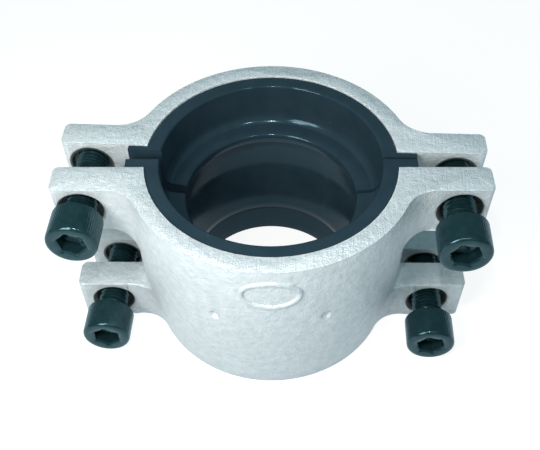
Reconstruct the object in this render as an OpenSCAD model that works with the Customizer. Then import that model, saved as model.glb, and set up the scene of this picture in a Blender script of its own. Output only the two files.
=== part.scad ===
// Split pipe coupling: two cast half casings with ears, each lined with a
// rubber half that carries sealing lips, drawn together by four cap screws.
// The rear casing has tapped ears and stands square to the frame. The front
// casing hangs loosely on the screws, slightly turned about the bore.
// Units are millimetres. Z is the bore axis, and Z = 0 is the bottom rim.

/* [Pipe] */
// Outside diameter of the pipe that the coupling closes on
pipe_d = 60.5; // [56:0.5:62]
// How far the relaxed lips stand inside the pipe's surface
lip_squeeze = 2.6; // [1:0.1:3]

/* [Casing] */
// Height of each casing half
casing_h = 65; // [62:1:75]
// Thickness of the cast wall
wall_t = 5.7; // [4:0.1:8]
// Height of the tapered skirt at the small end
skirt_h = 28; // [22:1:34]
// How much smaller the radius is at the bottom rim
skirt_drop = 3.3; // [1:0.1:4]
// Azimuth of the two casting dimples, either side of the front
dimple_turn = 22; // [10:1:35]
// Height of the casting dimples
dimple_z = 39.7; // [32:0.1:44]
// Radius of the ball that forms a dimple
dimple_r = 2; // [1:0.1:3]

/* [Ears] */
// Distance from the casing's wall to the axes of the upper screws
upper_screw_out = 13.3; // [10:0.1:16]
// Distance from the casing's wall to the axes of the lower screws
lower_screw_out = 10.3; // [9.5:0.1:13]
// Distance from the casing's wall to the ear ends
ear_out = 22.1; // [21:0.1:26]
// Thickness of the front ears, which the screws pass through
front_ear_t = 10; // [8:0.5:12]
// Thickness of the rear ears, which are tapped
rear_ear_t = 9; // [8:0.5:12]
// Height of the upper ears
upper_ear_h = 18.3; // [17:0.1:20]
// Height of the lower ears
lower_ear_h = 17.5; // [17:0.1:19]
// How far the lower screws lie below the middle of their ears
lower_screw_drop = 0.4; // [0:0.1:0.8]
// Radius of the corners at the ear ends
ear_corner_r = 2; // [1:0.5:4]
// Radius of the upright fillets where ears run into the wall
plan_fillet_r = 11; // [8:0.5:13]
// Radius of the fillet below the upper ears
under_fillet_r = 7; // [4:0.5:9]
// Radius of the fillet above the lower ears
over_fillet_r = 3; // [1:0.5:5]

/* [Split] */
// Distance between the casings' mating faces, measured at the bore axis
split_gap = 8.2; // [7:0.1:10]
// Angle that the front half is turned about the bore axis
front_skew = 2.26; // [0:0.02:3]

/* [Lining] */
// How much wider than the pipe the wide mouth at the top is
mouth_over = 8.9; // [6:0.1:12]
// Thickness of the lining round the wide mouth
lining_wall = 4.7; // [4:0.1:6]
// Depth of the wide mouth's straight wall
mouth_depth = 12; // [8:0.5:14]
// Depth from the top rim to the upper lip
upper_lip_depth = 17.2; // [15:0.1:19]
// Height of the middle lip
middle_lip_z = 13.6; // [11:0.1:18]
// Length of each lip's sealing land
lip_land = 1.6; // [1:0.1:2.4]
// How far the groove below the upper lip stands back from the lips
groove_deep = 4.95; // [4:0.05:6]
// Height at which the groove turns into the middle lip's cone
groove_floor_z = 31; // [26:0.5:36]
// How far the undercut below the middle lip stands back from the lips
undercut = 2.8; // [1.5:0.1:3.5]
// Distance that the lining's top lies below the casing's rim
lining_recess = 0.5; // [0:0.1:1]
// Play between the lining and the casing's bore
lining_play = 0.1; // [0.05:0.05:0.2]
// How far the lining's flanges stand out past the casing's wall
flange_out = 0.2; // [-1.5:0.1:1.5]
// Smallest gap between the two lining halves, at the nearer side
lining_gap = 0.7; // [0.4:0.1:1.2]
// How far the joint between the linings lies behind the bore axis
joint_offset = 1; // [0:0.1:1.4]

/* [Screws] */
// Thread's outside diameter
screw_d = 10; // [8:0.5:11]
// Length of each screw under its head
screw_len = 35; // [33:1:40]
// Diameter of the head
head_d = 16; // [14:0.5:17]
// Height of the head
head_h = 11; // [8:0.5:12]
// Size of the hexagon socket across its flats
socket_af = 8; // [6:0.5:9]
// Depth of the hexagon socket
socket_deep = 5; // [4:0.5:6]
// Distance from the upper left front ear to its screw's head
upper_left_standoff = 3.2; // [2:0.1:6]
// Distance from the upper right front ear to its screw's head
upper_right_standoff = 6.9; // [5:0.1:8]
// Distance from the lower left front ear to its screw's head
lower_left_standoff = 5.2; // [2:0.1:6]
// Distance from the lower right front ear to its screw's head
lower_right_standoff = 7.9; // [5:0.1:8]
// Radial play of a screw in its tapped hole
thread_play = 0.05; // [0.02:0.01:0.08]
// Radial play of a screw in the front ear's hole
hole_play = 1.5; // [1.2:0.1:2]
// Extra radius of the countersinks at the front ear holes
countersink = 1; // [0.5:0.1:1.4]
// Extra radius of the reliefs ahead of the tapped holes
relief = 1.5; // [1:0.1:2]
// Depth of those reliefs
relief_deep = 2; // [1:0.5:3]

/* [Hidden] */
$fn = 96;
// Overlap that keeps a cut clear of the face it starts from
eps = 1;

mouth_r = (pipe_d + mouth_over) / 2;
bore_r = mouth_r + lining_wall;
casing_r = bore_r + wall_t;
foot_bore_r = bore_r - skirt_drop;
foot_r = casing_r - skirt_drop;
upper_screw_x = casing_r + upper_screw_out;
lower_screw_x = casing_r + lower_screw_out;
ear_reach = casing_r + ear_out;
flange_reach = casing_r + flange_out;
mating_y = split_gap / 2;
upper_ear_z = casing_h - upper_ear_h;
upper_screw_z = casing_h - upper_ear_h / 2;
lower_screw_z = lower_ear_h / 2 - lower_screw_drop;
lip_r = pipe_d / 2 - lip_squeeze;
groove_r = lip_r + groove_deep;
lining_top = casing_h - lining_recess;
upper_lip_z = casing_h - upper_lip_depth;
mouth_floor_z = casing_h - mouth_depth;
// Gap between the lining halves at the bore axis
axis_gap = lining_gap + flange_reach * tan(front_skew);
front_joint_y = axis_gap / 2 - joint_offset;
rear_joint_y = axis_gap / 2 + joint_offset;

// Wall radius of the tapered skirt at height z
function skirt_r(z) = foot_r + skirt_drop * min(z / skirt_h, 1);

// Distance to the centre of the upright fillet between a wall of radius r
// and an ear face at distance face_y
function fillet_x(r, face_y) =
    sqrt(pow(r + plan_fillet_r, 2) - pow(face_y + plan_fillet_r, 2));

// Point where that fillet touches the wall
function fillet_touch(r, face_y) =
    [fillet_x(r, face_y), face_y + plan_fillet_r] * r / (r + plan_fillet_r);

// Outer face of the front ear on the line of a screw at x
function front_face_y(x) =
    x * tan(front_skew) - (mating_y + front_ear_t) / cos(front_skew);

// Points of an arc from angle a0 to a1
function arc(c, r, a0, a1, steps) =
    [for (i = [0 : steps]) let (a = a0 + (a1 - a0) * i / steps) c + r * [cos(a), sin(a)]];

// Everything of a half that lies beyond a plane at distance y
module beyond(y) {
    translate([-2 * ear_reach, y, -eps])
        cube([4 * ear_reach, 2 * ear_reach, casing_h + 2 * eps]);
}

// Ring-shaped body of the whole casing, before it is split
module casing_ring() {
    rotate_extrude(convexity = 4)
        polygon([
            [0, 0], [foot_r, 0], [casing_r, skirt_h], [casing_r, casing_h], [0, casing_h]
        ]);
}

// Space that the lining fills
module casing_bore() {
    rotate_extrude(convexity = 4)
        polygon([
            [0, -eps], [foot_bore_r, -eps], [foot_bore_r, 0],
            [bore_r, skirt_h], [bore_r, casing_h + eps], [0, casing_h + eps]
        ]);
}

// Outline of one ear to the right, seen from above, with rounded end corners
module ear_outline(ear_t) {
    r = ear_corner_r;
    translate([0, mating_y]) {
        square([ear_reach - r, ear_t]);
        translate([0, r])
            square([ear_reach, ear_t - 2 * r]);
        for (y = [r, ear_t - r])
            translate([ear_reach - r, y])
                circle(r);
    }
}

// Metal that the upright fillet is cut from, between the ear and the wall
module web_outline(face_y) {
    touch = fillet_touch(casing_r, face_y);
    polygon([
        [bore_r / 2, mating_y], [fillet_x(casing_r, face_y), mating_y],
        [fillet_x(casing_r, face_y), face_y], touch, [bore_r / 2, touch[1]]
    ]);
}

// Rod that cuts the upright fillet, leaning with the wall between two heights
module fillet_rod(face_y, z0, z1) {
    x0 = fillet_x(skirt_r(z0), face_y);
    x1 = fillet_x(skirt_r(z1), face_y);
    lean = atan2(x1 - x0, z1 - z0);
    translate([x0, face_y + plan_fillet_r, z0])
        rotate([0, lean, 0])
            translate([0, 0, -5 * eps])
                cylinder(r = plan_fillet_r, h = z1 - z0 + 10 * eps);
}

// One ear with its upright fillet, from z0 to z1; the wall leans up to lean_z
module ear(ear_t, z0, z1, lean_z) {
    face_y = mating_y + ear_t;
    difference() {
        translate([0, 0, z0])
            linear_extrude(z1 - z0) {
                ear_outline(ear_t);
                web_outline(face_y);
            }
        fillet_rod(face_y, z0, lean_z);
    }
}

// Fillet round the wall below an ear whose underside is at z
module under_fillet(z) {
    rotate_extrude(convexity = 4)
        difference() {
            translate([casing_r - wall_t / 2, z - under_fillet_r])
                square([under_fillet_r + wall_t / 2, under_fillet_r + eps]);
            translate([casing_r + under_fillet_r, z - under_fillet_r])
                circle(under_fillet_r);
        }
}

// Fillet round the wall above an ear whose top is at z
module over_fillet(z) {
    r = skirt_r(z);
    rotate_extrude(convexity = 4)
        difference() {
            translate([r - wall_t / 2, z - eps])
                square([over_fillet_r + wall_t / 2, over_fillet_r + eps]);
            translate([r + over_fillet_r, z + over_fillet_r])
                circle(over_fillet_r);
        }
}

// Upper and lower ear of the right side, with the fillets that carry them
module ear_pair(ear_t) {
    ear(ear_t, upper_ear_z, casing_h, casing_h);
    intersection() {
        under_fillet(upper_ear_z);
        ear(ear_t, upper_ear_z - under_fillet_r - eps, upper_ear_z + eps, casing_h);
    }
    ear(ear_t, 0, lower_ear_h, skirt_h);
    intersection() {
        over_fillet(lower_ear_h);
        ear(ear_t, 0, lower_ear_h + over_fillet_r + eps, skirt_h);
    }
}

// One casing half without its screw holes, on the +Y side of the split
module casing_blank(ear_t) {
    difference() {
        intersection() {
            union() {
                casing_ring();
                ear_pair(ear_t);
                mirror([1, 0, 0])
                    ear_pair(ear_t);
            }
            beyond(mating_y);
        }
        casing_bore();
    }
}

// Hole of radius r along Y, from eps before the mating face to a depth
module ear_hole(r, depth) {
    translate([0, mating_y - eps, 0])
        rotate([-90, 0, 0])
            cylinder(r = r, h = depth + eps);
}

// Plain hole through a front ear, countersunk for the screw's head
module clearance_hole() {
    r = screw_d / 2 + hole_play;
    ear_hole(r, front_ear_t + eps);
    translate([0, mating_y + front_ear_t + eps, 0])
        rotate([90, 0, 0])
            cylinder(r1 = r + countersink + eps, r2 = r, h = countersink + eps);
}

// Tapped hole through a rear ear, with a wider relief ahead of its thread
module tapped_hole() {
    ear_hole(screw_d / 2 + thread_play, rear_ear_t + eps);
    ear_hole(screw_d / 2 + relief, relief_deep);
}

// Puts a copy of its child at each of the four screw axes
module at_screws() {
    for (side = [-1, 1]) {
        translate([side * upper_screw_x, 0, upper_screw_z])
            children();
        translate([side * lower_screw_x, 0, lower_screw_z])
            children();
    }
}

// Turns a half from the +Y side to its place in front
module to_front() {
    rotate([0, 0, 180 + front_skew])
        children();
}

module casing_front() {
    color("lightsteelblue")
        to_front()
            difference() {
                casing_blank(front_ear_t);
                at_screws()
                    clearance_hole();
                for (turn = [-dimple_turn, dimple_turn])
                    rotate([0, 0, 90 + turn])
                        translate([casing_r + dimple_r / 2, 0, dimple_z])
                            sphere(dimple_r, $fn = 48);
            }
}

module casing_rear() {
    color("lightsteelblue")
        difference() {
            casing_blank(rear_ear_t);
            at_screws()
                tapped_hole();
        }
}

// Half section of the lining: back against the casing, lips towards the pipe
module lining_section() {
    edge_r = 0.8;
    nose_r = 1.2;
    blend_r = 4;
    back = lining_play;
    land_z = upper_lip_z - lip_land;
    polygon(concat(
        [
            [foot_bore_r - back, 0], [bore_r - back, skirt_h], [bore_r - back, lining_top]
        ],
        arc([mouth_r + edge_r, lining_top - edge_r], edge_r, 90, 180, 5),
        arc([mouth_r - blend_r, mouth_floor_z], blend_r, 0, -60, 6),
        arc([lip_r + nose_r, upper_lip_z], nose_r, 110, 180, 6),
        arc([lip_r + nose_r, land_z], nose_r, 180, 240, 5),
        [
            [groove_r - nose_r, land_z - 2 * nose_r], [groove_r, land_z - 3 * nose_r],
            [groove_r, groove_floor_z]
        ],
        arc([lip_r + nose_r, middle_lip_z], nose_r, 166, 180, 2),
        arc([lip_r + edge_r, middle_lip_z - lip_land], edge_r, 180, 240, 3),
        [
            [lip_r + undercut, middle_lip_z - lip_land - edge_r],
            [lip_r + undercut, middle_lip_z - lip_land - 3 * edge_r],
            [lip_r, lip_land], [lip_r, 0]
        ]
    ));
}

// One lining half on the +Y side, cut off at its joint face
module lining_half(joint_y) {
    intersection() {
        rotate_extrude(convexity = 6)
            lining_section();
        beyond(joint_y);
    }
    for (side = [0, 1])
        mirror([side, 0, 0])
            translate([foot_bore_r - wall_t / 5, joint_y, 0])
                cube([flange_reach - foot_bore_r + wall_t / 5, mating_y - joint_y, lining_top]);
}

module lining_front() {
    color("darkslategray")
        to_front()
            lining_half(front_joint_y);
}

module lining_rear() {
    color("darkslategray")
        lining_half(rear_joint_y);
}

// Outline of a screw, from its tip at the top to the head's face below zero
module screw_section() {
    r = screw_d / 2;
    tip = screw_d / 10;
    bevel = head_d / 16;
    polygon([
        [0, -head_h], [head_d / 2 - bevel, -head_h], [head_d / 2, bevel - head_h],
        [head_d / 2, 0], [r, 0], [r, screw_len - tip], [r - tip, screw_len], [0, screw_len]
    ]);
}

// Cap screw along Y, its shoulder at the origin and its tip towards +Y
module cap_screw() {
    corner_r = socket_af / 2 / cos(30);
    mouth = socket_af / 10;
    rotate([-90, 0, 0])
        difference() {
            rotate_extrude()
                screw_section();
            translate([0, 0, -head_h - eps])
                cylinder(r = corner_r, h = socket_deep + eps, $fn = 6);
            translate([0, 0, -head_h - eps])
                cylinder(r1 = corner_r + eps, r2 = corner_r - mouth, h = mouth + eps);
            translate([0, 0, socket_deep - head_h - 0.1])
                cylinder(r1 = socket_af / 2, r2 = 0, h = socket_af / 4);
        }
}

// Cap screw at one ear, its head standing off the front ear
module placed_screw(x, z, standoff) {
    color("darkslategray")
        translate([x, front_face_y(x) - standoff, z])
            cap_screw();
}

module screw_upper_left() {
    placed_screw(-upper_screw_x, upper_screw_z, upper_left_standoff);
}

module screw_upper_right() {
    placed_screw(upper_screw_x, upper_screw_z, upper_right_standoff);
}

module screw_lower_left() {
    placed_screw(-lower_screw_x, lower_screw_z, lower_left_standoff);
}

module screw_lower_right() {
    placed_screw(lower_screw_x, lower_screw_z, lower_right_standoff);
}

casing_front();
casing_rear();
lining_front();
lining_rear();
screw_upper_left();
screw_upper_right();
screw_lower_left();
screw_lower_right();
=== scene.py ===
"""Looks of a rubber-lined split pipe coupling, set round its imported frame."""
from math import atan2, cos, degrees, hypot, pi, radians, sin

import bmesh
import bpy
from mathutils import Matrix, Vector


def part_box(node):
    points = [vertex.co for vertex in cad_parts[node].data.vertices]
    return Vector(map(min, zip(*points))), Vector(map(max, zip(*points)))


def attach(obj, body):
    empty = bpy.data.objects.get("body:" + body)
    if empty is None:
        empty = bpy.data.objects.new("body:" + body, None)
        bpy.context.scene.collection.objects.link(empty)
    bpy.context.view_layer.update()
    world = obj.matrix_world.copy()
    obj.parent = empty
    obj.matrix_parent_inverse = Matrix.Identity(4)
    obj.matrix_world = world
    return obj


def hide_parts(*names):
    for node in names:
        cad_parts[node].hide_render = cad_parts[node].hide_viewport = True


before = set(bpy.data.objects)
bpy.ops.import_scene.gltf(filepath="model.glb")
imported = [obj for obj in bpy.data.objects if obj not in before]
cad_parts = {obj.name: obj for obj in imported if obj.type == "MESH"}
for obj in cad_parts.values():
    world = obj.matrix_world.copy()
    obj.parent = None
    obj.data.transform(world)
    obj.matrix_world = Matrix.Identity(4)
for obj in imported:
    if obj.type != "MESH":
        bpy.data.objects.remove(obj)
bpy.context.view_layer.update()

MM = 0.001

# Sizes of the coupling, in millimetres, as in the frame
CASING_RADIUS = 45.1
CASING_HEIGHT = 65.0
BORE_RADIUS = 39.4
# How far the front half is turned about the bore
FRONT_SKEW = radians(2.26)
# A face nearer to the joint plane than this can be a mating face
MATING_LIMIT = 5.0
# Widest radius of the countersinks in the front ears
HOLE_LIMIT = 7.6
# The painted shade in the screw holes fades out between these radii, and just inside the rear ears'
# back
HOLE_SHADE_IN = 7.1
HOLE_SHADE_OUT = 7.5
EAR_BACK = 13.1
# Edges rounded by the casting, and edges broken after a cut
CAST_EDGE = 0.6
CUT_EDGE = 0.22
# Points of a solid nearer than this are one
MERGE = 0.002
# The screws' axes as (x, z), the left ones and the right ones by turns
SCREW_AXES = ((-58.4, 55.85), (58.4, 55.85), (-55.4, 8.35), (55.4, 8.35))
THREAD_RADIUS = 5.0
THREAD_PITCH = 1.5
# Depth of a metric outer thread, as a share of its pitch
THREAD_DEPTH = 0.6134
# Plain neck under the head, into which the thread runs out
NECK_RADIUS = 4.75
RUN_OUT_START = 2.6
RUN_OUT_LENGTH = 1.6
SCREW_LENGTH = 35.0
HEAD_RADIUS = 8.0
HEAD_HEIGHT = 11.0
SOCKET_FLATS = 8.0
SOCKET_DEPTH = 5.0
KNURL_TEETH = 60
# Depth of the knurl, as a share of the head's radius
KNURL_DEPTH = 0.011

# Lamps: name, place, aim, sides, power in watts and colour
LAMPS = (
    ("key_left", (-115, -165, 175), (-10, -15, 35), (100, 100), 0.42, (1.0, 0.94, 0.90)),
    ("high_left", (-80, -125, 235), (-10, -15, 35), (40, 40), 0.12, (1.0, 0.95, 0.92)),
    ("front_high", (2, -130, 265), (0, -10, 40), (9, 9), 0.15, (1, 1, 1)),
    ("high_right", (70, -115, 245), (0, -10, 40), (16, 16), 0.05, (1, 1, 1)),
)

# The photograph's view: eye in millimetres, angles in degrees, lens in pixels of a frame 540 wide
PHOTO_WIDTH = 540
PHOTO_HEIGHT = 450
EYE = Vector((7.86, -173.37, 234.52))
HEADING = -4.246
PITCH = 50.996
ROLL = -1.402
FOCAL_PIXELS = 777.0
OPTICAL_CENTRE = (257.0, 248.4)


def photo_camera():
    """Camera at the photograph's eye, with its lens and framing."""
    data = bpy.data.cameras.new("photo_camera")
    data.sensor_fit = "HORIZONTAL"
    data.sensor_width = 36.0
    data.lens = FOCAL_PIXELS * data.sensor_width / PHOTO_WIDTH
    data.shift_x = (PHOTO_WIDTH / 2 - OPTICAL_CENTRE[0]) / PHOTO_WIDTH
    data.shift_y = (OPTICAL_CENTRE[1] - PHOTO_HEIGHT / 2) / PHOTO_WIDTH
    data.clip_start = 0.01
    camera = bpy.data.objects.new("photo_camera", data)
    turn = Matrix.Rotation(-radians(HEADING), 4, "Z")
    tilt = Matrix.Rotation(radians(90 - PITCH), 4, "X")
    roll = Matrix.Rotation(radians(ROLL), 4, "Z")
    camera.matrix_world = Matrix.Translation(EYE * MM) @ turn @ tilt @ roll
    bpy.context.scene.collection.objects.link(camera)
    bpy.context.scene.camera = camera


# Shared node groups

def socket(tree, name, kind, into):
    """One named socket of a node group."""
    tree.interface.new_socket(name, in_out="INPUT" if into else "OUTPUT", socket_type=kind)


def nodes_of(tree):
    """Short ways to add and join nodes in a tree."""
    def add(kind, **settings):
        node = tree.nodes.new(kind)
        for name, value in settings.items():
            setattr(node, name, value)
        return node

    def join(a, b):
        tree.links.new(a, b)

    return add, join


def grain_group():
    """Height and mask of a sand-cast skin, from fine grains, soft lumps and a few pits."""
    tree = bpy.data.node_groups.new("cast_grain", "ShaderNodeTree")
    socket(tree, "Vector", "NodeSocketVector", True)
    socket(tree, "Grain Scale", "NodeSocketFloat", True)
    socket(tree, "Lump Scale", "NodeSocketFloat", True)
    socket(tree, "Pit Scale", "NodeSocketFloat", True)
    socket(tree, "Height", "NodeSocketFloat", False)
    socket(tree, "Tone", "NodeSocketFloat", False)
    socket(tree, "Pits", "NodeSocketFloat", False)
    add, join = nodes_of(tree)
    given = add("NodeGroupInput")
    out = add("NodeGroupOutput")
    grains = add("ShaderNodeTexNoise")
    grains.inputs["Detail"].default_value = 3.0
    grains.inputs["Roughness"].default_value = 0.6
    join(given.outputs["Vector"], grains.inputs["Vector"])
    join(given.outputs["Grain Scale"], grains.inputs["Scale"])
    lumps = add("ShaderNodeTexNoise")
    lumps.inputs["Detail"].default_value = 4.0
    join(given.outputs["Vector"], lumps.inputs["Vector"])
    join(given.outputs["Lump Scale"], lumps.inputs["Scale"])
    cells = add("ShaderNodeTexVoronoi", feature="F1")
    join(given.outputs["Vector"], cells.inputs["Vector"])
    join(given.outputs["Pit Scale"], cells.inputs["Scale"])
    chosen = add("ShaderNodeSeparateColor")
    join(cells.outputs["Color"], chosen.inputs[0])
    rare = add("ShaderNodeMapRange")
    rare.inputs["From Min"].default_value = 0.985
    rare.inputs["From Max"].default_value = 0.99
    join(chosen.outputs[0], rare.inputs["Value"])
    near = add("ShaderNodeMapRange")
    near.inputs["From Min"].default_value = 0.16
    near.inputs["From Max"].default_value = 0.07
    join(cells.outputs["Distance"], near.inputs["Value"])
    pits = add("ShaderNodeMath", operation="MULTIPLY")
    join(rare.outputs["Result"], pits.inputs[0])
    join(near.outputs["Result"], pits.inputs[1])
    height = add("ShaderNodeMath", operation="MULTIPLY_ADD")
    height.inputs[1].default_value = 0.55
    join(grains.outputs["Fac"], height.inputs[0])
    join(lumps.outputs["Fac"], height.inputs[2])
    sunk = add("ShaderNodeMath", operation="SUBTRACT")
    join(height.outputs[0], sunk.inputs[0])
    join(pits.outputs[0], sunk.inputs[1])
    join(sunk.outputs[0], out.inputs["Height"])
    join(lumps.outputs["Fac"], out.inputs["Tone"])
    join(pits.outputs[0], out.inputs["Pits"])
    return tree


def scratch_group():
    """Fine marks that run along Y, left by a saw or by use."""
    tree = bpy.data.node_groups.new("fine_marks", "ShaderNodeTree")
    socket(tree, "Vector", "NodeSocketVector", True)
    socket(tree, "Across", "NodeSocketFloat", True)
    socket(tree, "Along", "NodeSocketFloat", True)
    socket(tree, "Marks", "NodeSocketFloat", False)
    add, join = nodes_of(tree)
    given = add("NodeGroupInput")
    out = add("NodeGroupOutput")
    stretch = add("ShaderNodeCombineXYZ")
    join(given.outputs["Across"], stretch.inputs["X"])
    join(given.outputs["Along"], stretch.inputs["Y"])
    join(given.outputs["Across"], stretch.inputs["Z"])
    scaled = add("ShaderNodeVectorMath", operation="MULTIPLY")
    join(given.outputs["Vector"], scaled.inputs[0])
    join(stretch.outputs[0], scaled.inputs[1])
    noise = add("ShaderNodeTexNoise")
    noise.inputs["Scale"].default_value = 1.0
    noise.inputs["Detail"].default_value = 2.0
    join(scaled.outputs[0], noise.inputs["Vector"])
    join(noise.outputs["Fac"], out.inputs["Marks"])
    return tree


GRAIN = grain_group()
MARKS = scratch_group()


def new_material(name):
    """A material with its tree cleared down to the shader and the output."""
    material = bpy.data.materials.new(name)
    material.use_nodes = True
    tree = material.node_tree
    shader = next(n for n in tree.nodes if n.type == "BSDF_PRINCIPLED")
    add, join = nodes_of(tree)
    return material, shader, add, join


def group_node(add, join, tree, vector, **values):
    """A shared group placed in a material with its own values."""
    node = add("ShaderNodeGroup", node_tree=tree)
    join(vector, node.inputs["Vector"])
    for name, value in values.items():
        node.inputs[name.replace("_", " ")].default_value = value
    return node


def ramp(add, join, value, low, high, to_low=0.0, to_high=1.0):
    """Value mapped from low..high to to_low..to_high, clamped."""
    node = add("ShaderNodeMapRange")
    node.inputs["From Min"].default_value = low
    node.inputs["From Max"].default_value = high
    node.inputs["To Min"].default_value = to_low
    node.inputs["To Max"].default_value = to_high
    join(value, node.inputs["Value"])
    return node.outputs["Result"]


def mix_colour(add, join, factor, a, b):
    """Colour a where the factor is 0, b where it is 1."""
    node = add("ShaderNodeMix", data_type="RGBA")
    join(factor, node.inputs["Factor"])
    for value, name in ((a, 6), (b, 7)):
        if isinstance(value, tuple):
            node.inputs[name].default_value = value
        else:
            join(value, node.inputs[name])
    return node.outputs[2]


def mix_value(add, join, factor, a, b):
    """Number a where the factor is 0, b where it is 1."""
    node = add("ShaderNodeMix", data_type="FLOAT")
    join(factor, node.inputs["Factor"])
    for value, name in ((a, 2), (b, 3)):
        if isinstance(value, float):
            node.inputs[name].default_value = value
        else:
            join(value, node.inputs[name])
    return node.outputs[0]


def bump(add, join, height, shader, distance):
    """Relief on the shader's normal, a distance in millimetres for a height of 1."""
    node = add("ShaderNodeBump")
    node.inputs["Distance"].default_value = distance * MM
    node.inputs["Strength"].default_value = 1.0
    join(height, node.inputs["Height"])
    join(node.outputs["Normal"], shader.inputs["Normal"])


def painted_hole_shade(add, join, split):
    """Where shade is painted: 1 inside the screw holes and 0 on the ears' back faces, from the
    object's own coordinates.
    """
    side = add("ShaderNodeMath", operation="ABSOLUTE")
    join(split.outputs["X"], side.inputs[0])
    place = add("ShaderNodeCombineXYZ")
    join(side.outputs[0], place.inputs["X"])
    join(split.outputs["Z"], place.inputs["Z"])
    reaches = []
    for x, z in SCREW_AXES[1::2]:
        reach = add("ShaderNodeVectorMath", operation="DISTANCE")
        reach.inputs[1].default_value = (x * MM, 0, z * MM)
        join(place.outputs[0], reach.inputs[0])
        reaches.append(reach.outputs["Value"])
    nearest = add("ShaderNodeMath", operation="MINIMUM")
    for value, into in zip(reaches, nearest.inputs):
        join(value, into)
    inside = ramp(add, join, nearest.outputs[0], HOLE_SHADE_OUT * MM, HOLE_SHADE_IN * MM)
    ahead = ramp(add, join, split.outputs["Y"], (EAR_BACK - 0.35) * MM, (EAR_BACK - 0.5) * MM)
    kept = add("ShaderNodeMath", operation="MULTIPLY")
    join(inside, kept.inputs[0])
    join(ahead, kept.inputs[1])
    return kept.outputs[0]


def cast_aluminium():
    """Pale sand-cast aluminium: saw marks on the flat top, painted shade in the screw holes, a bright
    burr at the bore that is partly a painted highlight.
    """
    material, shader, add, join = new_material("cast_aluminium")
    where = add("ShaderNodeTexCoord").outputs["Object"]
    skin = group_node(add, join, GRAIN, where, Grain_Scale=1900.0, Lump_Scale=420.0, Pit_Scale=170.0)
    saw = group_node(add, join, MARKS, where, Across=2400.0, Along=140.0)
    split = add("ShaderNodeSeparateXYZ")
    join(where, split.inputs[0])
    top = ramp(add, join, split.outputs["Z"], (CASING_HEIGHT - 0.25) * MM, (CASING_HEIGHT - 0.15) * MM)
    tone = ramp(add, join, skin.outputs["Tone"], 0.3, 0.7)
    cast = mix_colour(add, join, tone, (0.60, 0.67, 0.69, 1), (0.71, 0.77, 0.79, 1))
    streak = ramp(add, join, saw.outputs["Marks"], 0.3, 0.7)
    sawn = mix_colour(add, join, streak, (0.68, 0.76, 0.79, 1), (0.82, 0.88, 0.90, 1))
    flat = add("ShaderNodeCombineXYZ")
    join(split.outputs["X"], flat.inputs["X"])
    join(split.outputs["Y"], flat.inputs["Y"])
    radius = add("ShaderNodeVectorMath", operation="LENGTH")
    join(flat.outputs[0], radius.inputs[0])
    # A paler colour along the bore's edge: partly a real burr, partly a painted highlight on that
    # edge.
    rim = ramp(add, join, radius.outputs["Value"], (BORE_RADIUS + 0.5) * MM, (BORE_RADIUS + 0.25) * MM)
    broken = ramp(add, join, skin.outputs["Tone"], 0.42, 0.52)
    burr_and_edge_highlight = add("ShaderNodeMath", operation="MULTIPLY")
    join(rim, burr_and_edge_highlight.inputs[0])
    join(broken, burr_and_edge_highlight.inputs[1])
    sawn_with_burr_highlight = mix_colour(add, join, burr_and_edge_highlight.outputs[0], sawn, (0.92, 0.95, 0.95, 1))
    skin_colour = mix_colour(add, join, top, cast, sawn_with_burr_highlight)
    # Painted shade: the screw holes and their countersinks are darkened in the colour.
    hole_shaded = mix_colour(add, join, painted_hole_shade(add, join, split), skin_colour, (0.06, 0.08, 0.08, 1))
    # The pits' dark colour is painted shade inside them.
    colour = mix_colour(add, join, skin.outputs["Pits"], hole_shaded, (0.10, 0.12, 0.13, 1))
    join(colour, shader.inputs["Base Color"])
    cast_rough = ramp(add, join, skin.outputs["Tone"], 0.3, 0.7, 0.50, 0.38)
    rough = mix_value(add, join, top, cast_rough, 0.33)
    join(rough, shader.inputs["Roughness"])
    shader.inputs["Metallic"].default_value = 0.3
    cut_depth = ramp(add, join, top, 0.0, 1.0, 0.0, 0.35)
    cut = add("ShaderNodeMath", operation="MULTIPLY")
    join(saw.outputs["Marks"], cut.inputs[0])
    join(cut_depth, cut.inputs[1])
    relief = add("ShaderNodeMath", operation="ADD")
    join(skin.outputs["Height"], relief.inputs[0])
    join(cut.outputs[0], relief.inputs[1])
    bump(add, join, relief.outputs[0], shader, 0.55)
    return material


def lining_rubber():
    """Blue-black moulded rubber with a satin sheen and a few paler specks."""
    material, shader, add, join = new_material("lining_rubber")
    where = add("ShaderNodeTexCoord").outputs["Object"]
    skin = group_node(add, join, GRAIN, where, Grain_Scale=1800.0, Lump_Scale=160.0, Pit_Scale=420.0)
    tone = ramp(add, join, skin.outputs["Tone"], 0.3, 0.7)
    base = mix_colour(add, join, tone, (0.017, 0.036, 0.050, 1), (0.023, 0.043, 0.058, 1))
    colour = mix_colour(add, join, skin.outputs["Pits"], base, (0.05, 0.07, 0.09, 1))
    join(colour, shader.inputs["Base Color"])
    rough = ramp(add, join, skin.outputs["Tone"], 0.3, 0.7, 0.1, 0.16)
    join(rough, shader.inputs["Roughness"])
    shader.inputs["Specular IOR Level"].default_value = 0.3
    shader.inputs["Specular Tint"].default_value = (0.5, 0.85, 1.0, 1)
    bump(add, join, skin.outputs["Height"], shader, 0.006)
    return material


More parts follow.
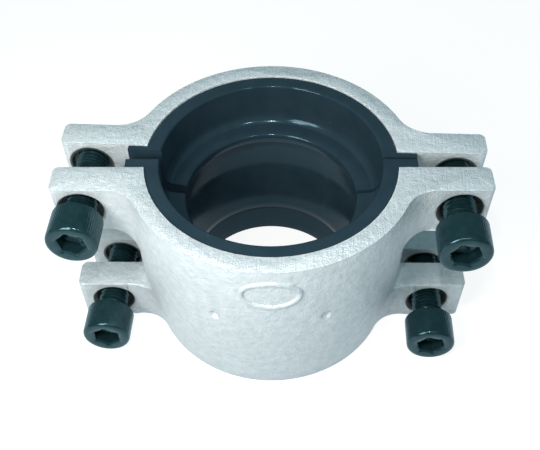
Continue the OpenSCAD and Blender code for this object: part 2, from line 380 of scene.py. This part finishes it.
def black_steel():
    """Black-oxide steel, slightly green, uneven in tone."""
    material, shader, add, join = new_material("black_steel")
    where = add("ShaderNodeTexCoord").outputs["Object"]
    skin = group_node(add, join, GRAIN, where, Grain_Scale=2600.0, Lump_Scale=420.0, Pit_Scale=900.0)
    tone = ramp(add, join, skin.outputs["Tone"], 0.35, 0.7)
    base = mix_colour(add, join, tone, (0.010, 0.034, 0.039, 1), (0.017, 0.049, 0.057, 1))
    join(base, shader.inputs["Base Color"])
    rough = ramp(add, join, skin.outputs["Tone"], 0.3, 0.7, 0.12, 0.22)
    join(rough, shader.inputs["Roughness"])
    shader.inputs["Metallic"].default_value = 0.4
    shader.inputs["Specular IOR Level"].default_value = 0.7
    shader.inputs["Specular Tint"].default_value = (0.6, 0.9, 1.0, 1)
    bump(add, join, skin.outputs["Height"], shader, 0.01)
    return material


CAST_ALUMINIUM = cast_aluminium()
LINING_RUBBER = lining_rubber()
BLACK_STEEL = black_steel()


# Making pieces

def piece_from(bm, name, material, body, smooth_angle):
    """Finished piece from a bmesh: on its body, and smooth where it turns by less than an angle."""
    mesh = bpy.data.meshes.new(name)
    bm.to_mesh(mesh)
    bm.free()
    old_normals = mesh.attributes.get("custom_normal")
    if old_normals:
        mesh.attributes.remove(old_normals)
    mesh.shade_smooth()
    mesh.set_sharp_from_angle(angle=radians(smooth_angle))
    mesh.materials.append(material)
    piece = bpy.data.objects.new(name, mesh)
    bpy.context.scene.collection.objects.link(piece)
    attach(piece, body)
    return piece


def solid_of(node):
    """A CAD node's solid as a bmesh, its flat faces made whole again."""
    bm = bmesh.new()
    bm.from_mesh(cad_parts[node].data)
    bmesh.ops.remove_doubles(bm, verts=bm.verts, dist=MERGE * MM)
    bmesh.ops.dissolve_limit(bm, angle_limit=radians(0.03), verts=bm.verts, edges=bm.edges)
    return bm


def convex_edges(bm, sharper_than):
    """Outward edges of a solid that turn by more than an angle."""
    return [
        e for e in bm.edges
        if len(e.link_faces) == 2 and e.is_convex and e.calc_face_angle(0) > radians(sharper_than)
    ]


def round_edges(bm, edges, width, segments):
    """Rounds edges by a width in millimetres."""
    bmesh.ops.bevel(
        bm, geom=edges, offset=width * MM, offset_type="OFFSET", segments=segments,
        profile=0.5, affect="EDGES", clamp_overlap=False, material=-1,
    )


def is_cut_face(face, skew):
    """True for a sawn or machined face: top, bottom, bore, mating face or screw hole."""
    n = face.normal
    c = face.calc_center_median() / MM
    along = Vector((sin(skew), -cos(skew), 0))
    flat_end = abs(n.z) > 0.999 and (c.z > CASING_HEIGHT - 0.5 or c.z < 0.5)
    mating = abs(n.dot(along)) > 0.999 and abs(c.xy.dot(along.xy)) < MATING_LIMIT
    in_bore = hypot(c.x, c.y) < BORE_RADIUS + 0.2
    in_hole = any(hypot(c.x - x, c.z - z) < HOLE_LIMIT for x, z in SCREW_AXES)
    return flat_end or mating or in_bore or in_hole


def dress_casing(node, body, skew):
    """Casing half with soft cast edges and crisper cut ones."""
    bm = solid_of(node)
    crisp = bm.edges.layers.int.new("crisp")
    cut = {f for f in bm.faces if is_cut_face(f, skew)}
    soft = []
    for e in convex_edges(bm, 35):
        if any(f in cut for f in e.link_faces):
            e[crisp] = 1
        else:
            soft.append(e)
    round_edges(bm, soft, CAST_EDGE, 3)
    round_edges(bm, [e for e in bm.edges if e[crisp]], CUT_EDGE, 2)
    piece = piece_from(bm, node + "_cast", CAST_ALUMINIUM, body, 35)
    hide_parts(node)


def dress_lining(node, body):
    """Lining half, its moulded round faces shaded smooth."""
    bm = solid_of(node)
    piece = piece_from(bm, node + "_moulded", LINING_RUBBER, body, 25)
    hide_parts(node)


def spun(profile, centre, steps):
    """Closed shell turned about a screw's axis, from (radius, distance along Y) points."""
    bm = bmesh.new()
    x, y, z = centre
    chain = [bm.verts.new(((x + r) * MM, (y + a) * MM, z * MM)) for r, a in profile]
    for first, second in zip(chain, chain[1:]):
        bm.edges.new((first, second))
    bmesh.ops.spin(
        bm, geom=bm.verts[:] + bm.edges[:], cent=Vector((x, y, z)) * MM, axis=(0, 1, 0),
        angle=2 * pi, steps=steps, use_merge=True,
    )
    bmesh.ops.remove_doubles(bm, verts=bm.verts, dist=0.001 * MM)
    bmesh.ops.recalc_face_normals(bm, faces=bm.faces)
    return bm


def screw_head(centre, hex_turn):
    """Head of a cap screw: knurled side, bevelled face, hexagon socket."""
    flats = SOCKET_FLATS / 2
    face = -HEAD_HEIGHT
    floor = face + SOCKET_DEPTH
    profile = [
        (0, 2.4), (4.4, 2.4), (4.4, 0.7), (4.55, 0.3), (5.0, 0.0),
        (7.3, 0.0), (7.7, -0.15), (HEAD_RADIUS, -0.5), (HEAD_RADIUS, face + 1.25),
        (7.86, face + 0.8), (7.55, face + 0.38), (7.1, face + 0.1), (6.6, face),
        (5.65, face), (flats + 0.5, face + 0.3), (flats, face + 0.9),
        (flats, floor), (flats * 0.92, floor + 0.25), (0, floor + 1.6),
    ]
    bm = spun(profile, centre, KNURL_TEETH * 4)
    x, y, z = centre
    for v in bm.verts:
        dx, dz = v.co.x / MM - x, v.co.z / MM - z
        along = v.co.y / MM - y
        r = hypot(dx, dz)
        if r < 0.01:
            continue
        around = atan2(dz, dx)
        grow = 1.0
        if r > HEAD_RADIUS - 0.02 and face + 1.1 < along < -0.4:
            grow = 1 - KNURL_DEPTH * (0.5 + 0.5 * cos(around * KNURL_TEETH))
        if r < flats + 0.52 and face + 0.2 < along < floor + 0.3:
            turned = (degrees(around) - hex_turn + 30) % 60 - 30
            grow = 1 / cos(radians(turned))
        v.co.x = (x + dx * grow) * MM
        v.co.z = (z + dz * grow) * MM
    return bm


def screw_thread(centre):
    """Threaded shank of a cap screw, with a run-out at the head and a bevelled tip."""
    x, y, z = centre
    pitch = THREAD_PITCH
    root = THREAD_RADIUS - THREAD_DEPTH * pitch
    crest = THREAD_RADIUS - 0.02
    per_turn = 40
    start = -1.5 * pitch
    turns = int((SCREW_LENGTH - start) / pitch) + 2
    profile = [
        (root, 0), (root, pitch / 4), (crest, pitch * 9 / 16), (crest, pitch * 11 / 16), (root, pitch),
    ]
    bm = bmesh.new()
    chain = [bm.verts.new(((x + r) * MM, (y + start + a) * MM, z * MM)) for r, a in profile]
    for first, second in zip(chain, chain[1:]):
        bm.edges.new((first, second))
    bmesh.ops.spin(
        bm, geom=bm.verts[:] + bm.edges[:], cent=Vector((x, y, z)) * MM, axis=(0, -1, 0),
        dvec=Vector((0, pitch / per_turn, 0)) * MM, angle=2 * pi * turns, steps=turns * per_turn,
    )
    bmesh.ops.remove_doubles(bm, verts=bm.verts, dist=MERGE * MM)
    for at, outward in ((y + 0.2, -1), (y + SCREW_LENGTH, 1)):
        whole = bm.verts[:] + bm.edges[:] + bm.faces[:]
        cut = bmesh.ops.bisect_plane(
            bm, geom=whole, dist=0.0001 * MM, plane_co=Vector((0, at, 0)) * MM,
            plane_no=(0, outward, 0), clear_outer=True,
        )
        rim = [g for g in cut["geom_cut"] if isinstance(g, bmesh.types.BMEdge)]
        bmesh.ops.edgeloop_fill(bm, edges=rim)
    for v in bm.verts:
        dx, dz = v.co.x / MM - x, v.co.z / MM - z
        along = v.co.y / MM - y
        r = hypot(dx, dz)
        largest = root + 0.15 + max(0.0, SCREW_LENGTH - along)
        run_out = min(1.0, max(0.0, (RUN_OUT_START - along) / RUN_OUT_LENGTH))
        wanted = min(r + (NECK_RADIUS - r) * run_out, largest)
        if r > 0.01:
            v.co.x = (x + dx * wanted / r) * MM
            v.co.z = (z + dz * wanted / r) * MM
    bmesh.ops.recalc_face_normals(bm, faces=bm.faces)
    return bm


def dress_screw(node, hex_turn):
    """Cap screw with a knurled head, hexagon socket and cut thread."""
    low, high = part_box(node)
    x = (low.x + high.x) / 2 / MM
    z = (low.z + high.z) / 2 / MM
    shoulder = low.y / MM + HEAD_HEIGHT
    centre = (x, shoulder, z)
    bm = screw_head(centre, hex_turn)
    thread = screw_thread(centre)
    shank = bpy.data.meshes.new("thread_part")
    thread.to_mesh(shank)
    thread.free()
    bm.from_mesh(shank)
    bpy.data.meshes.remove(shank)
    piece = piece_from(bm, node + "_turned", BLACK_STEEL, node, 32)
    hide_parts(node)


def cast_oval():
    """Bare raised oval ring cast on the front wall."""
    half_width = 8.6
    half_height = 5.6
    middle = 54.4
    bead = 0.9
    sunk = 0.15
    path_radius = 10.0
    bm = bmesh.new()
    stand_up = Matrix.Translation((path_radius, 0, 0)) @ Matrix.Rotation(pi / 2, 4, "X")
    bmesh.ops.create_circle(bm, segments=12, radius=bead, matrix=stand_up)
    bmesh.ops.spin(
        bm, geom=bm.verts[:] + bm.edges[:], cent=(0, 0, 0), axis=(0, 0, 1),
        angle=2 * pi, steps=120, use_merge=True,
    )
    for v in bm.verts:
        around = atan2(v.co.y, v.co.x)
        outward = hypot(v.co.x, v.co.y) - path_radius
        across = (half_width + outward) * cos(around)
        up = (half_height + outward) * sin(around)
        radius = CASING_RADIUS - sunk + v.co.z
        azimuth = FRONT_SKEW + across / CASING_RADIUS
        v.co = Vector((radius * sin(azimuth), -radius * cos(azimuth), middle + up)) * MM
    bmesh.ops.recalc_face_normals(bm, faces=bm.faces)
    piece_from(bm, "cast_oval", CAST_ALUMINIUM, "front_half", 60)


# The pieces of the coupling

dress_casing("casing_front", "front_half", FRONT_SKEW)
dress_casing("casing_rear", "rear_half", 0.0)
cast_oval()
dress_lining("lining_front", "front_half")
dress_lining("lining_rear", "rear_half")
dress_screw("screw_upper_left", 12)
dress_screw("screw_upper_right", 24)
dress_screw("screw_lower_left", 0)
dress_screw("screw_lower_right", 18)


# Studio

def studio_floor():
    """Floor under the coupling: it glows white, and shows the coupling's shadow."""
    bm = bmesh.new()
    bmesh.ops.create_grid(bm, x_segments=1, y_segments=1, size=1.5)
    mesh = bpy.data.meshes.new("studio_floor")
    bm.to_mesh(mesh)
    bm.free()
    floor = bpy.data.objects.new("studio_floor", mesh)
    material, shader, add, join = new_material("floor_white")
    rays = add("ShaderNodeLightPath")
    seen = add("ShaderNodeMath", operation="ADD", use_clamp=True)
    join(rays.outputs["Is Camera Ray"], seen.inputs[0])
    join(rays.outputs["Is Glossy Ray"], seen.inputs[1])
    colour = mix_colour(add, join, seen.outputs[0], (0.42, 0.45, 0.47, 1), (0.3, 0.3, 0.3, 1))
    join(colour, shader.inputs["Base Color"])
    glow = ramp(add, join, seen.outputs[0], 0.0, 1.0, 0.0, 0.85)
    join(glow, shader.inputs["Emission Strength"])
    shown = mix_colour(add, join, rays.outputs["Is Camera Ray"], (0.84, 0.94, 1.0, 1), (1, 1, 1, 1))
    join(shown, shader.inputs["Emission Color"])
    shader.inputs["Roughness"].default_value = 0.9
    shader.inputs["Specular IOR Level"].default_value = 0.0
    mesh.materials.append(material)
    bpy.context.scene.collection.objects.link(floor)


def area_light(name, place, target, size, power, colour):
    """Soft box that faces a point, places in millimetres."""
    data = bpy.data.lights.new(name, "AREA")
    data.shape = "RECTANGLE"
    data.size, data.size_y = size[0] * MM, size[1] * MM
    data.energy = power
    data.color = colour
    light = bpy.data.objects.new(name, data)
    place = Vector(place) * MM
    light.location = place
    light.rotation_euler = (Vector(target) * MM - place).to_track_quat("-Z", "Y").to_euler()
    bpy.context.scene.collection.objects.link(light)


def studio_world():
    """White to the camera, and a soft blue-white light on the object."""
    world = bpy.data.worlds.new("studio")
    world.use_nodes = True
    bpy.context.scene.world = world
    add, join = nodes_of(world.node_tree)
    lit = next(n for n in world.node_tree.nodes if n.type == "BACKGROUND")
    lit.inputs["Color"].default_value = (0.58, 0.9, 1.0, 1)
    lit.inputs["Strength"].default_value = 0.31
    white = add("ShaderNodeBackground")
    white.inputs["Color"].default_value = (1, 1, 1, 1)
    rays = add("ShaderNodeLightPath")
    both = add("ShaderNodeMixShader")
    seen = add("ShaderNodeMath", operation="ADD", use_clamp=True)
    join(rays.outputs["Is Camera Ray"], seen.inputs[0])
    join(rays.outputs["Is Transmission Ray"], seen.inputs[1])
    join(seen.outputs[0], both.inputs["Fac"])
    join(lit.outputs[0], both.inputs[1])
    join(white.outputs[0], both.inputs[2])
    out = next(n for n in world.node_tree.nodes if n.type == "OUTPUT_WORLD")
    join(both.outputs[0], out.inputs["Surface"])


photo_camera()
studio_floor()
studio_world()
for lamp in LAMPS:
    area_light(*lamp)
bpy.context.scene.view_settings.view_transform = "Standard"
